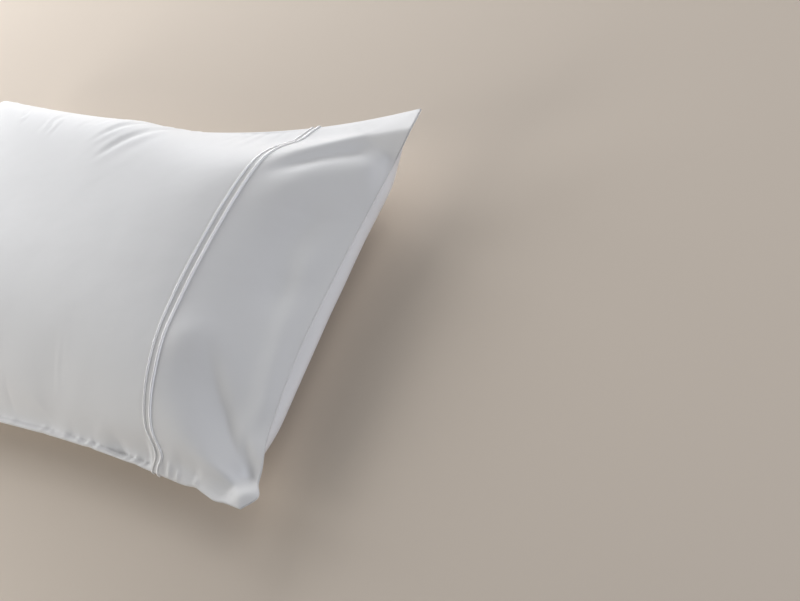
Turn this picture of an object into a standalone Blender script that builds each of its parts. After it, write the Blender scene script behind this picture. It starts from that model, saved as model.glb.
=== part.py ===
"""A filled pillowcase that lies on its back: a long body, a deep cuff and two rows of cord at the cuff seam.

Units are metres. +X points to the mouth, +Y to one side seam and +Z out of the face. The case rests on z = 0.
Two coordinates describe the cloth: u runs from the closed end (-1) to the mouth (1), and v from one side seam
(-1) to the other (1). Stations along the case are measured over the cloth, back from the hem of the mouth.
"""

import bmesh
import bpy
import numpy as np

# Outline of the filled case, seen from above
HALF_LENGTH_MOUTH = 0.3648
HALF_LENGTH_CLOSED = 0.3649
HALF_WIDTH = 0.2344
MOUTH_DRAW_IN = 0.0346
CLOSED_DRAW_IN = 0.0300
PLUS_DRAW_IN = 0.0422
MINUS_DRAW_IN = 0.0333
SIDE_ROUNDNESS = 2.19
MOUTH_ROUNDNESS = 2.36
CLOSED_ROUNDNESS = 3.0

# The two pointed corners at the mouth, as (x shift, y shift, lift)
EAR_PLUS = (0.0002, -0.0087, 0.0191)
EAR_MINUS = (-0.0076, 0.0102, 0.0066)
EAR_SHIFT_POWER = 6
EAR_LIFT_POWER = 4

# The rounded shoulder of the hem beside the -Y corner, as (v of its middle, half width in v, reach)
HEM_SHOULDER = (-0.915, 0.055, 0.0105)

# Height of the seam between face and back, and the thickness of the two cloths there
SEAM_HEIGHT = 0.0632
SEAM_THICKNESS = 0.0040
SEAM_DIP_AT_MOUTH = 0.0055
SEAM_RISE_PLUS = 0.0069
SEAM_FALL_MINUS = 0.018
CORNER_DROOP_CLOSED = 0.0365

# The face rises from each edge to the crown, past a flat lip:
# (reach, width of the lip, roundness, steepness, slope of the lip, softness of its end)
CROWN = 0.0678
CROWN_BLEND = 5.49
RISE_MOUTH = (0.3392, 0.0461, 1.95, 0.724, 0.26, 0.16)
RISE_CLOSED = (0.3392, 0.006, 2.3, 0.58, 0.278, 0.0)
RISE_PLUS_AT_MOUTH = (0.2057, 0.0274, 2.18, 0.829, 0.278, 0.05)
RISE_PLUS_AT_CLOSED = (0.2057, 0.0001, 2.18, 0.388, 0.278, 0.0)
RISE_MINUS = (0.2428, 0.0138, 1.57, 0.642, 0.278, 0.04)
LIP_START_U = -0.1
LIP_FULL_U = 0.6

# The back drops from each edge to the surface under it: (reach, roundness, steepness)
DROP_BLEND = 1.5
DROP_MOUTH = (0.1405, 2.2, 0.882)
DROP_CLOSED = (0.0900, 2.0, 1.0)
DROP_PLUS = (0.0900, 2.0, 1.0)
DROP_MINUS = (0.1100, 1.5, 1.0)
BELLY = 0.0274
BELLY_CENTRE_V = -0.16

# Soft folds of the face, each a curve through three places: (start, middle, end, height, half width)
FOLDS = (
    # the ridge that runs to the +Y corner
    ((0.180, 0.099), (0.281, 0.157), (0.386, 0.232), 0.0075, 0.012),
    # the softer ridge below it
    ((0.223, 0.072), (0.291, 0.140), (0.353, 0.168), 0.0040, 0.010),
    # the trough that runs to the -Y corner
    ((0.235, 0.009), (0.286, -0.113), (0.370, -0.226), -0.0065, 0.017),
    # the swell beside the hem
    ((0.306, 0.039), (0.315, -0.086), (0.347, -0.183), 0.0035, 0.014),
    # the hollow beside the cords
    ((0.139, -0.199), (0.187, -0.199), (0.218, -0.191), -0.0060, 0.012),
    # the trough in the middle of the cuff
    ((0.302, 0.138), (0.287, 0.074), (0.288, -0.003), -0.0040, 0.020),
)
FOLD_STEPS = 10

# The cuff, its hem and the slit between the two hems
CUFF_DEPTH = 0.149
CUFF_GATHER_MINUS = 0.049
CUFF_GATHER_POWER = 8
HEM_THICKNESS = 0.0014
SLIT_DEPTH = 0.016
SLIT_DEPTH_AT_SIDE = 0.002
SLIT_TAPER_POWER = 8

# The two rows of cord: (width, thickness)
CORD_SPACING = 0.0095
CORD_INNER = (0.0030, 0.0020)
CORD_OUTER = (0.0040, 0.0026)
CORD_SUNK_FACE = 0.40
CORD_SUNK_BACK = 1.20
CORD_SINK_WIDTH = 0.25

# Clearances between the pieces
CLEARANCE = 0.0005
SEAM_CLEARANCE = 0.0007
GROOVE_EDGE = 0.0004
GROOVE_SUPPORT = 0.0012

# Density of the mesh
COLUMNS = 46
SIDE_CROWDING = 0.45
CUFF_ROWS = 13
CUFF_CROWDING = 1.25
BODY_ROWS = 24
BODY_CROWDING = 1.5
CORD_SIDES = 8
TABLE_STEPS = 240
PROBE = 0.0005
WELD = 0.00001


def blend(t):
    """Runs smoothly from 0 to 1."""
    t = np.clip(t, 0.0, 1.0)
    return t * t * (3.0 - 2.0 * t)


def plan(u, v):
    """Gives the place seen from above, and how far it is in from the four edges."""
    half_plus = HALF_WIDTH - PLUS_DRAW_IN * (1.0 - np.abs(u) ** SIDE_ROUNDNESS)
    half_minus = HALF_WIDTH - MINUS_DRAW_IN * (1.0 - np.abs(u) ** SIDE_ROUNDNESS)
    mouth = HALF_LENGTH_MOUTH - MOUTH_DRAW_IN * (1.0 - np.abs(v) ** MOUTH_ROUNDNESS)
    mouth = mouth + HEM_SHOULDER[2] * np.exp(-(((v - HEM_SHOULDER[0]) / HEM_SHOULDER[1]) ** 2))
    closed = HALF_LENGTH_CLOSED - CLOSED_DRAW_IN * (1.0 - np.abs(v) ** CLOSED_ROUNDNESS)
    along = (1.0 + u) / 2.0
    in_from_mouth = (mouth + closed) * (1.0 - along)
    in_from_closed = (mouth + closed) * along
    across = np.where(v > 0.0, v * half_plus, v * half_minus)
    return across, in_from_mouth, in_from_closed, half_plus - across, half_minus + across, mouth


def ears(u, v):
    """Gives the pull of the two mouth corners as x, y and height."""
    towards = np.clip(u, 0.0, 1.0)
    plus = np.clip(v, 0.0, 1.0)
    minus = np.clip(-v, 0.0, 1.0)
    shift_plus = (towards * plus) ** EAR_SHIFT_POWER
    shift_minus = (towards * minus) ** EAR_SHIFT_POWER
    lift_plus = (towards * plus) ** EAR_LIFT_POWER
    lift_minus = (towards * minus) ** EAR_LIFT_POWER
    x = EAR_PLUS[0] * shift_plus + EAR_MINUS[0] * shift_minus
    y = EAR_PLUS[1] * shift_plus + EAR_MINUS[1] * shift_minus
    return x, y, EAR_PLUS[2] * lift_plus + EAR_MINUS[2] * lift_minus


def seam_height(u, v):
    """Gives the height of the layer in which face and back meet."""
    dip = SEAM_DIP_AT_MOUTH * np.clip(u, 0.0, 1.0) ** 2 * (1.0 - v * v)
    rise = SEAM_RISE_PLUS * np.clip(v, 0.0, 1.0) ** 2 - SEAM_FALL_MINUS * np.clip(-v, 0.0, 1.0) ** 2
    droop = CORNER_DROOP_CLOSED * np.clip(-u, 0.0, 1.0) ** 4 * v ** 4
    return SEAM_HEIGHT - dip + rise - droop + ears(u, v)[2]


def rise(distance, reach, lip, roundness, steepness, lip_slope, softness):
    """Gives the share of the crown that the face has at a distance in from one edge."""

    def dome(inside):
        soft = (np.sqrt(inside * inside + softness * softness) + inside) / 2.0
        return np.maximum(1.0 - (1.0 - np.clip(soft, 0.0, 1.0)) ** roundness, 0.0) ** steepness

    at_edge = dome(-lip / (reach - lip))
    share = (dome((distance - lip) / (reach - lip)) - at_edge) / (1.0 - at_edge)
    lip_rise = lip_slope * lip / CROWN
    return share * (1.0 - lip_rise) + lip_rise * (1.0 - np.exp(-distance / lip))


def crown(u, v):
    """Gives the height of the face over the seam layer."""
    place = plan(u, v)
    mouthward = blend((u - LIP_START_U) / (LIP_FULL_U - LIP_START_U))
    both_ends = zip(RISE_PLUS_AT_MOUTH, RISE_PLUS_AT_CLOSED)
    rise_plus = [mouth * mouthward + closed * (1.0 - mouthward) for mouth, closed in both_ends]
    shares = (
        rise(place[1], *RISE_MOUTH),
        rise(place[2], *RISE_CLOSED),
        rise(place[3], *rise_plus),
        rise(place[4], *RISE_MINUS),
    )
    total = sum(np.maximum(share, WELD) ** -CROWN_BLEND for share in shares)
    return CROWN * (total / len(shares)) ** (-1.0 / CROWN_BLEND)


def curve_through(start, middle, end):
    """Gives places along the curve through three places."""
    t = np.linspace(0.0, 1.0, FOLD_STEPS + 1)[:, None]
    weights = ((1.0 - t) * (1.0 - 2.0 * t), 4.0 * t * (1.0 - t), t * (2.0 * t - 1.0))
    return sum(weight * np.array(place) for weight, place in zip(weights, (start, middle, end)))


def folds(x, y):
    """Gives the height that the soft folds add to the face; each one fades at its ends."""
    height = np.zeros_like(x)
    for start, middle, end, rise_of_fold, half_width in FOLDS:
        places = curve_through(start, middle, end)
        nearest = np.full_like(x, np.inf)
        along = np.zeros_like(x)
        for step in range(FOLD_STEPS):
            run_x, run_y = places[step + 1] - places[step]
            gap_x = x - places[step][0]
            gap_y = y - places[step][1]
            share = np.clip((gap_x * run_x + gap_y * run_y) / (run_x * run_x + run_y * run_y), 0.0, 1.0)
            gap = (gap_x - share * run_x) ** 2 + (gap_y - share * run_y) ** 2
            along = np.where(gap < nearest, (step + share) / FOLD_STEPS, along)
            nearest = np.minimum(nearest, gap)
        height += rise_of_fold * np.exp(-nearest / half_width ** 2) * np.sin(np.pi * along) ** 2
    return height


def face_point(u, v):
    """Gives points of the face."""
    place = plan(u, v)
    shift_x, shift_y, _ = ears(u, v)
    x = place[5] - place[1] + shift_x
    y = place[0] + shift_y
    height = crown(u, v)
    z = seam_height(u, v) + SEAM_THICKNESS / 2.0 + height + folds(x, y) * blend(height / (CROWN / 2.0))
    return np.stack([x, y, z], axis=-1)


def drop(distance, reach, roundness, steepness):
    """Gives the share of the height that the back still has at a distance in from one edge."""
    outside = np.clip(1.0 - distance / reach, 0.0, 1.0)
    return 1.0 - np.maximum(1.0 - outside ** roundness, 0.0) ** steepness


def back_point(u, v):
    """Gives points of the back, which lies flat in the middle."""
    place = plan(u, v)
    shift_x, shift_y, _ = ears(u, v)
    shares = (
        drop(place[1], *DROP_MOUTH),
        drop(place[2], *DROP_CLOSED),
        drop(place[3], *DROP_PLUS),
        drop(place[4], *DROP_MINUS),
    )
    share = np.minimum(sum(part ** DROP_BLEND for part in shares) ** (1.0 / DROP_BLEND), 1.0)
    side = np.where(v > BELLY_CENTRE_V, 1.0 - BELLY_CENTRE_V, 1.0 + BELLY_CENTRE_V)
    belly = BELLY * np.sin(np.pi * share) * (1.0 - ((v - BELLY_CENTRE_V) / side) ** 2)
    belly = belly * np.sqrt(np.clip(1.0 - place[1] / DROP_MOUTH[0], 0.0, 1.0))
    x = place[5] - place[1] + shift_x + belly
    return np.stack([x, place[0] + shift_y, (seam_height(u, v) - SEAM_THICKNESS / 2.0) * share], axis=-1)


def column_places():
    """Gives v for each column, closer together at the side seams."""
    even = np.linspace(-1.0, 1.0, COLUMNS)
    return even * (1.0 - SIDE_CROWDING) + np.sin(even * np.pi / 2.0) * SIDE_CROWDING


class Cloth:
    """The face or the back, measured over the cloth from the mouth along each column."""

    def __init__(self, point, up):
        self.point = point
        self.up = up
        self.v = column_places()
        self.table_u = np.linspace(1.0, -1.0, TABLE_STEPS + 1)
        grid_u, grid_v = np.meshgrid(self.table_u, self.v, indexing="ij")
        steps = np.linalg.norm(np.diff(point(grid_u, grid_v), axis=0), axis=-1)
        self.table_station = np.vstack([np.zeros(COLUMNS), np.cumsum(steps, axis=0)])
        self.length = self.table_station[-1]

    def u_at(self, station):
        """Gives u of one station in each column."""
        columns = zip(station, self.table_station.T)
        return np.array([np.interp(s, table, self.table_u) for s, table in columns])

    def out(self, u):
        """Gives the outward direction in each column; at the side seams it points out of the corner."""
        step_u = self.point(np.minimum(u + PROBE, 1.0), self.v) - self.point(u - PROBE, self.v)
        inner = np.clip(self.v, -1.0 + PROBE, 1.0 - PROBE)
        step_v = self.point(u, inner + PROBE) - self.point(u, inner - PROBE)
        normal = np.cross(step_u, step_v) * self.up
        normal /= np.linalg.norm(normal, axis=-1)[:, None]
        normal[0] = (0.0, -1.0, self.up)
        normal[-1] = (0.0, 1.0, self.up)
        return normal

    def row(self, station, height=0.0):
        """Gives a row of points at a station, raised off the cloth by a height."""
        u = self.u_at(station)
        return self.point(u, self.v) + self.out(u) * np.broadcast_to(height, (COLUMNS,))[:, None]

    def ahead(self, station):
        """Gives the direction over the cloth to the closed end, in each column."""
        step = self.row(station + PROBE) - self.row(station - PROBE)
        return step / np.linalg.norm(step, axis=-1)[:, None]


def cuff_station(v, distance):
    """Gives the station of a line that is parallel to the cuff seam, gathered at one side seam."""
    return distance * (1.0 - CUFF_GATHER_MINUS * np.clip(-v, 0.0, 1.0) ** CUFF_GATHER_POWER)


def cord_height(cloth, thickness):
    """Gives the height of a cord's centre over the cloth: half sunk in the face, wholly sunk in the back."""
    inward = blend((1.0 - np.abs(cloth.v)) / CORD_SINK_WIDTH)
    sunk = CORD_SUNK_FACE if cloth.up > 0 else CORD_SUNK_FACE + (CORD_SUNK_BACK - CORD_SUNK_FACE) * inward
    return thickness * (0.5 - sunk)


def groove_rows(cloth, distance, cord, sides):
    """Gives the rows of one side (1 or -1) of the groove for a cord, from the cloth down to the floor."""
    station = cuff_station(cloth.v, distance)
    floor = cord_height(cloth, cord[1]) - cord[1] / 2.0 - CLEARANCE
    wall = cord[0] / 2.0 + CLEARANCE
    return [cloth.row(station + sides * (wall + GROOVE_EDGE)), cloth.row(station + sides * wall, floor)]


def body_rows(cloth):
    """Gives the rows of the body, from the cuff seam to the closed end."""
    start = cuff_station(cloth.v, CUFF_DEPTH)
    floor = cord_height(cloth, CORD_INNER[1]) - CORD_INNER[1] / 2.0 - CLEARANCE
    rows = [cloth.row(start + SEAM_CLEARANCE / 2.0, floor)]
    rows += groove_rows(cloth, CUFF_DEPTH, CORD_INNER, 1)[::-1]
    first = start + CORD_INNER[0] / 2.0 + CLEARANCE + GROOVE_EDGE + GROOVE_SUPPORT
    rows.append(cloth.row(first))
    for share in np.linspace(0.0, 1.0, BODY_ROWS + 1)[1:]:
        rows.append(cloth.row(first + (cloth.length - first) * (1.0 - (1.0 - share) ** BODY_CROWDING)))
    return rows


def cuff_rows(cloth):
    """Gives the rows of the cuff, from the cuff seam to the hem and on into the slit."""
    start = cuff_station(cloth.v, CUFF_DEPTH)
    floor = cord_height(cloth, CORD_INNER[1]) - CORD_INNER[1] / 2.0 - CLEARANCE
    rows = [cloth.row(start - SEAM_CLEARANCE / 2.0, floor)]
    rows += groove_rows(cloth, CUFF_DEPTH, CORD_INNER, -1)[::-1]
    outer = CUFF_DEPTH - CORD_SPACING
    rows += groove_rows(cloth, outer, CORD_OUTER, 1)
    rows += groove_rows(cloth, outer, CORD_OUTER, -1)[::-1]
    last = cuff_station(cloth.v, outer) - CORD_OUTER[0] / 2.0 - CLEARANCE - GROOVE_EDGE - GROOVE_SUPPORT
    rows.append(cloth.row(last))
    for share in np.linspace(1.0, 0.0, CUFF_ROWS + 1)[1:]:
        rows.append(cloth.row(last * share ** CUFF_CROWDING))
    rows.append(rows[-1] - np.array([0.0, 0.0, HEM_THICKNESS * cloth.up]))
    inward = 1.0 - np.abs(cloth.v) ** SLIT_TAPER_POWER
    depth = SLIT_DEPTH_AT_SIDE + (SLIT_DEPTH - SLIT_DEPTH_AT_SIDE) * inward
    u = 1.0 - depth / (HALF_LENGTH_MOUTH + HALF_LENGTH_CLOSED) * 2.0
    inner = cloth.point(np.ones(COLUMNS), cloth.v)
    inner[:, 0] -= depth
    inner[:, 2] = seam_height(u, cloth.v) + cloth.up * (SEAM_THICKNESS / 2.0 - HEM_THICKNESS)
    rows.append(inner)
    return rows


def add_grid(bm, points):
    """Adds a grid whose corners take the given places."""
    rows, columns = points.shape[:2]
    made = bmesh.ops.create_grid(bm, x_segments=rows - 1, y_segments=columns - 1, size=1.0)
    for vert in made["verts"]:
        row = round((vert.co.x + 1.0) / 2.0 * (rows - 1))
        column = round((vert.co.y + 1.0) / 2.0 * (columns - 1))
        vert.co = points[row, column]


def finish(bm, name, colour, roughness):
    """Welds the grids into a closed body and makes it an object with its own material."""
    bmesh.ops.remove_doubles(bm, verts=bm.verts, dist=WELD)
    bmesh.ops.recalc_face_normals(bm, faces=bm.faces)
    mesh = bpy.data.meshes.new(name)
    bm.to_mesh(mesh)
    bm.free()
    mesh.shade_smooth()
    material = bpy.data.materials.new(name + "_cotton")
    material.use_nodes = True
    shader = material.node_tree.nodes["Principled BSDF"]
    shader.inputs["Base Color"].default_value = colour
    shader.inputs["Roughness"].default_value = roughness
    mesh.materials.append(material)
    bpy.context.collection.objects.link(bpy.data.objects.new(name, mesh))


def filled_piece(name, face_rows, back_rows, colour, roughness):
    """Makes a filled length of the case from the rows of its face and its back."""
    face = np.array(face_rows)
    back = np.array(back_rows)
    bm = bmesh.new()
    add_grid(bm, np.concatenate([face, back[:, ::-1], face[:, :1]], axis=1))
    add_grid(bm, np.stack([face[0], back[0]]))
    add_grid(bm, np.stack([face[-1], back[-1]]))
    finish(bm, name, colour, roughness)


def cord_piece(name, distance, cord, cloths, colour, roughness):
    """Makes a cord that runs round the case parallel to the cuff seam."""
    angles = np.linspace(0.0, 2.0 * np.pi, CORD_SIDES + 1)
    halves = []
    for cloth in cloths:
        station = cuff_station(cloth.v, distance)
        centre = cloth.row(station, cord_height(cloth, cord[1]))
        out = cloth.out(cloth.u_at(station))
        ahead = cloth.ahead(station)
        rings = [
            centre + ahead * cord[0] / 2.0 * np.cos(angle) + out * cord[1] / 2.0 * np.sin(angle) * cloth.up
            for angle in angles
        ]
        halves.append(np.array(rings))
    face, back = halves
    bm = bmesh.new()
    add_grid(bm, np.concatenate([face, back[::-1, ::-1], face[:, :1]], axis=1))
    finish(bm, name, colour, roughness)


def main():
    for old in list(bpy.data.objects):
        bpy.data.objects.remove(old)
    face = Cloth(face_point, 1.0)
    back = Cloth(back_point, -1.0)
    white = (0.86, 0.86, 0.87, 1.0)
    filled_piece("case_body", body_rows(face), body_rows(back), white, 0.6)
    filled_piece("cuff", cuff_rows(face), cuff_rows(back), white, 0.6)
    outer = CUFF_DEPTH - CORD_SPACING
    cord_piece("cord_inner", CUFF_DEPTH, CORD_INNER, (face, back), white, 0.4)
    cord_piece("cord_outer", outer, CORD_OUTER, (face, back), white, 0.4)


main()
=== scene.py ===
"""Dresses a filled pillowcase: white cotton sateen, a deep cuff, two rows of covered cord, floor, light and camera.

Units are metres. +X points to the mouth, +Y to one side seam and +Z out of the face, and the case lies on z = 0.
Two coordinates describe the cloth: u runs from the closed end (-1) to the mouth (1), and v from one side seam
(-1) to the other (1). Stations along the case are measured over the cloth, back from the hem of the mouth.
"""

import collections
import functools
import math

import bmesh
import bpy
import numpy as np
from mathutils import Matrix, Vector


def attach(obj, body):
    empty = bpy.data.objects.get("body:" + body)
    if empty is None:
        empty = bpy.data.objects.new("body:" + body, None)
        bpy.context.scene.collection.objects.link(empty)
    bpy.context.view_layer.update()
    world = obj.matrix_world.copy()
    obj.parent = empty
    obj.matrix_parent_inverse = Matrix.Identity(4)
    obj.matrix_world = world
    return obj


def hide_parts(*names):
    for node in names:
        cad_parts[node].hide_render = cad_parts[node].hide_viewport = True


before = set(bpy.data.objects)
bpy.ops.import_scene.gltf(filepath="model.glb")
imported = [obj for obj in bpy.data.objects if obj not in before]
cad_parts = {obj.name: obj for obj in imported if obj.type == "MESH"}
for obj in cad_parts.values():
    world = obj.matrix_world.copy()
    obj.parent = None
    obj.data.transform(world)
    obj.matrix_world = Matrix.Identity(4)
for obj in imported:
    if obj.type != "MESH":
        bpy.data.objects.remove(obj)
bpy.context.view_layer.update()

bl_info = {
    "name": "Corded Pillowcase",
    "version": (1, 0, 0),
    "blender": (4, 5, 0),
    "location": "3D View > Sidebar > Pillowcase",
    "description": "Makes the cloth, the cords and the setting of a filled pillowcase",
    "category": "Mesh",
}

# Outline of the filled case, seen from above
HALF_LENGTH_MOUTH = 0.3648
HALF_LENGTH_CLOSED = 0.3649
HALF_WIDTH = 0.2344
MOUTH_DRAW_IN = 0.0346
CLOSED_DRAW_IN = 0.0300
PLUS_DRAW_IN = 0.0422
MINUS_DRAW_IN = 0.0333
SIDE_ROUNDNESS = 2.19
MOUTH_ROUNDNESS = 2.36
CLOSED_ROUNDNESS = 3.0

# The two pointed corners at the mouth, as (x shift, y shift, lift)
EAR_PLUS = (0.0002, -0.0087, 0.0191)
EAR_MINUS = (-0.0076, 0.0102, 0.0066)
EAR_SHIFT_POWER = 6
EAR_LIFT_POWER = 4

# The rounded shoulder of the hem beside the -Y corner, as (v of its middle, half width in v, reach)
HEM_SHOULDER = (-0.915, 0.055, 0.0105)

# Height of the seam between face and back
SEAM_HEIGHT = 0.0632
SEAM_DIP_AT_MOUTH = 0.0055
SEAM_RISE_PLUS = 0.0069
SEAM_FALL_MINUS = 0.018
CORNER_DROOP_CLOSED = 0.0365

# The face rises from each edge to the crown, past a flat lip:
# (reach, width of the lip, roundness, steepness, slope of the lip, softness of its end)
CROWN = 0.0678
CROWN_BLEND = 5.49
RISE_MOUTH = (0.3392, 0.0461, 1.95, 0.724, 0.26, 0.16)
RISE_CLOSED = (0.3392, 0.006, 2.3, 0.58, 0.278, 0.0)
RISE_PLUS_AT_MOUTH = (0.2057, 0.0274, 2.18, 0.829, 0.278, 0.05)
RISE_PLUS_AT_CLOSED = (0.2057, 0.0001, 2.18, 0.388, 0.278, 0.0)
RISE_MINUS = (0.2428, 0.0138, 1.57, 0.642, 0.278, 0.04)
LIP_START_U = -0.1
LIP_FULL_U = 0.6

# The back drops from each edge to the surface under it: (reach, roundness, steepness)
DROP_BLEND = 1.5
DROP_MOUTH = (0.1405, 2.2, 0.882)
DROP_CLOSED = (0.0900, 2.0, 1.0)
DROP_PLUS = (0.0900, 2.0, 1.0)
DROP_MINUS = (0.1100, 1.5, 1.0)
# Under the mouth it swells into a soft belly
BELLY = 0.0274
BELLY_CENTRE_V = -0.16
BELLY_REACH = DROP_MOUTH[0]

# Folds of the face, each a curve through three places seen from above: (start, middle, end, height,
# width on the side to its left, width on the other side, roundness of its crest, fading in, fading out).
# A fold without a roundness is soft all over.
FOLDS = (
    # the furrow under the raised strip
    ((0.215, 0.112), (0.284, 0.160), (0.338, 0.176), -0.0070, 0.008, 0.011, 0.0, 0.060, 0.040),
    # the softer ridge below it
    ((0.215, 0.072), (0.286, 0.127), (0.350, 0.160), 0.0080, 0.022, 0.036, 0.0080, 0.080, 0.035),
    # the trough that runs to the -Y corner
    ((0.240, -0.060), (0.284, -0.140), (0.360, -0.203), -0.0100, 0.013, 0.034, 0.0, 0.070, 0.026),
    # the narrow furrow beside it, into the corner
    ((0.318, -0.150), (0.340, -0.183), (0.358, -0.199), -0.0026, 0.004, 0.006, 0.0, 0.025, 0.014),
    # the lip of the corner, which turns up beside the seam
    ((0.292, -0.203), (0.322, -0.206), (0.350, -0.204), -0.0026, 0.006, 0.006, 0.0, 0.030, 0.025),
    # the swell beside the hem
    ((0.300, 0.070), (0.312, -0.050), (0.334, -0.155), 0.0030, 0.014, 0.012, 0.0, 0.050, 0.040),
    # the hollow beside the cords
    ((0.132, -0.194), (0.182, -0.197), (0.216, -0.196), -0.0090, 0.010, 0.012, 0.0, 0.030, 0.012),
    # the hollow on the other side of the cords
    ((0.246, -0.196), (0.268, -0.200), (0.292, -0.206), -0.0030, 0.008, 0.007, 0.0, 0.015, 0.015),
    # the trough in the middle of the cuff
    ((0.300, 0.118), (0.279, 0.066), (0.274, -0.003), -0.0045, 0.018, 0.024, 0.0, 0.040, 0.060),
    # the hollow behind the -Y seam's lip
    ((-0.260, -0.200), (-0.010, -0.1915), (0.080, -0.1945), -0.0092, 0.0140, 0.0052, 0.0, 0.060, 0.040),
    # the same hollow, nearer the cords
    ((0.060, -0.1935), (0.110, -0.1955), (0.180, -0.1985), -0.0070, 0.0110, 0.0048, 0.0, 0.025, 0.030),
)

# Round dents and swells of the face: (x, y, height, radius)
DENTS = (
    # the dent over the -Y corner, and the swell between it and the cords
    (0.298, -0.142, -0.0048, 0.028),
    (0.236, -0.088, 0.0066, 0.028),
    # the dent in the tip of that corner
    (0.346, -0.199, -0.0034, 0.015),
    # the dent in the middle of the cuff
    (0.290, 0.002, -0.0052, 0.027),
)

# Steps along each fold's curve, softness of a crested fold's foot as a share of its width, and the distance in from
# the side seams over which folds and dents fade in
FOLD_STEPS = 16
FOLD_FOOT = 0.12
FOLD_CLEAR = 0.008

# How far in from the hem the hems and the back follow the folds, and how far they swing out as they are lifted
HEM_WAVE_REACH = 0.060
HEM_WAVE_SWING = 0.86

# The flat strip between the +Y seam and the ridge that runs out at the hem: how steeply it rises from the seam,
# its width, how steeply the face falls behind the ridge, roundness of the ridge, softness of the strip's foot,
# and where it starts and is full in u
STRIP_SLOPE = 0.20
STRIP_WIDTH = 0.0385
STRIP_FALL = 1.1
STRIP_RIDGE = 0.0020
STRIP_FOOT = 0.0025
STRIP_START_U = 0.35
STRIP_FULL_U = 0.65

# Puckers where the -Y seam gathers the face: (x, height, half width, length from the seam)
PUCKERS = (
    (-0.052, 0.0012, 0.0040, 0.008),
    (-0.020, 0.0016, 0.0045, 0.010),
    (0.034, 0.0020, 0.0040, 0.010),
    (0.048, 0.0014, 0.0030, 0.008),
    (0.072, 0.0014, 0.0040, 0.009),
    (0.094, 0.0018, 0.0035, 0.010),
    (0.112, 0.0026, 0.0040, 0.012),
    (0.127, 0.0016, 0.0028, 0.009),
    (0.152, 0.0020, 0.0034, 0.010),
    (0.172, 0.0018, 0.0030, 0.011),
    (0.186, 0.0026, 0.0040, 0.012),
    (0.200, 0.0018, 0.0026, 0.009),
    (0.229, 0.0022, 0.0034, 0.011),
    (0.243, 0.0028, 0.0036, 0.014),
    (0.256, 0.0018, 0.0028, 0.010),
    (0.283, 0.0016, 0.0040, 0.010),
)
# How steeply a pucker starts at the seam, and how fast it fades over its length
PUCKER_START = 2.2
PUCKER_FADE = 2.0

# Where the -Y seam bows in (+) or out (-), as (x, distance, half width), and how far in from the seam that reaches
SEAM_BOWS = (
    (0.034, 0.0005, 0.006),
    (0.112, 0.0008, 0.007),
    (0.186, 0.0008, 0.008),
    (0.283, 0.0026, 0.012),
    (0.318, -0.0020, 0.012),
)
SEAM_BOW_REACH = 0.025

# The sewn groove between face and back is this many times narrower than the seam's rounding
GROOVE_NARROWER = 5.0

# The -Y corner is cut back at its tip, as (x, y, power in u, power in v), and filled out beside its shoulder,
# as (v of the middle, half width in v, reach in x)
CORNER_CUT = (-0.0100, -0.0010, 8, 16)
CORNER_FILL = (-0.800, 0.080, 0.0050)

# The cloth simulation, in which the filling presses a slightly too long face out between its seams: its grid, how
# far the grid crowds to the side seams, its frames, the face's spare length and the settings of the cloth
SETTLE_ROWS = 121
SETTLE_COLUMNS = 81
SETTLE_CROWDING = 0.4
SETTLE_FRAMES = 16
SETTLE_SPARE = 0.009
SETTLE_PRESSURE = 60.0
SETTLE_STIFFNESS = 15.0
SETTLE_SHEAR = 5.0
SETTLE_BENDING = 2.0
SETTLE_WEIGHT = 0.12
SETTLE_QUALITY = 6

# Only its creases are kept: what is left once its broader form is taken out, an average with these spreads in grid
# steps along and across, over so many spreads to either side; none is higher than the limit
CREASE_BREADTH = (6.0, 5.0)
CREASE_SPREADS = 3.0
CREASE_LIMIT = 0.0045

# The creases fade in from the seams, are weak on the cuff up to the start and full behind it, both measured from
# the hem, and are weaker beside the -Y seam
CREASE_CLEAR = 0.006
CREASES_ON_CUFF = 0.15
CREASES_START = 0.13
CREASES_FULL = 0.24
CREASES_BY_SEAM = 0.45
CREASES_SEAM_REACH = 0.10

# The cuff, how the -Y seam gathers it, and the slit between its two hems, made in these shares of its depth
CUFF_DEPTH = 0.149
CUFF_GATHER_MINUS = 0.049
CUFF_GATHER_POWER = 8
SLIT_DEPTH = 0.016
SLIT_DEPTH_AT_SIDE = 0.002
SLIT_TAPER_POWER = 8
SLIT_SHARES = (0.3, 1.0)

# How deep the cords lie in face and back, as shares of their thickness, and over how much of v that changes;
# over how much of v their bed in the cloth fades at the seams, and its half width as a share of theirs
CORD_SUNK_FACE = 0.42
CORD_SUNK_BACK = 1.20
CORD_SINK_WIDTH = 0.25
CORD_BED_FADE = 0.012
CORD_BED_WIDTH = 0.7

# Columns of the meshes: how many, how far they crowd to the side seams, the ones on the seam's rounded edge as
# distances in from it, and where the others begin
COLUMNS = 132
SIDE_CROWDING = 0.45
EDGE_COLUMNS = (0.0, 0.00025, 0.0006, 0.0011, 0.0018, 0.0028)
EDGE_CLEAR = 0.0036

# Rows of the meshes: their steps, and how far the fine ones run from the cuff seam into the body and past the outer
# cord towards the mouth
BODY_ROW_STEP = 0.0026
CUFF_ROW_STEP = 0.0017
FINE_STEP = 0.0006
BODY_FINE_REACH = 0.0080
CUFF_FINE_REACH = 0.0070
HEM_TURNS = 6
CORD_SIDES = 12

# Steps in which a column is measured, the step in u and v that gives a direction, and how close points are one
TABLE_STEPS = 240
PROBE = 0.0005
WELD = 0.00001

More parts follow.
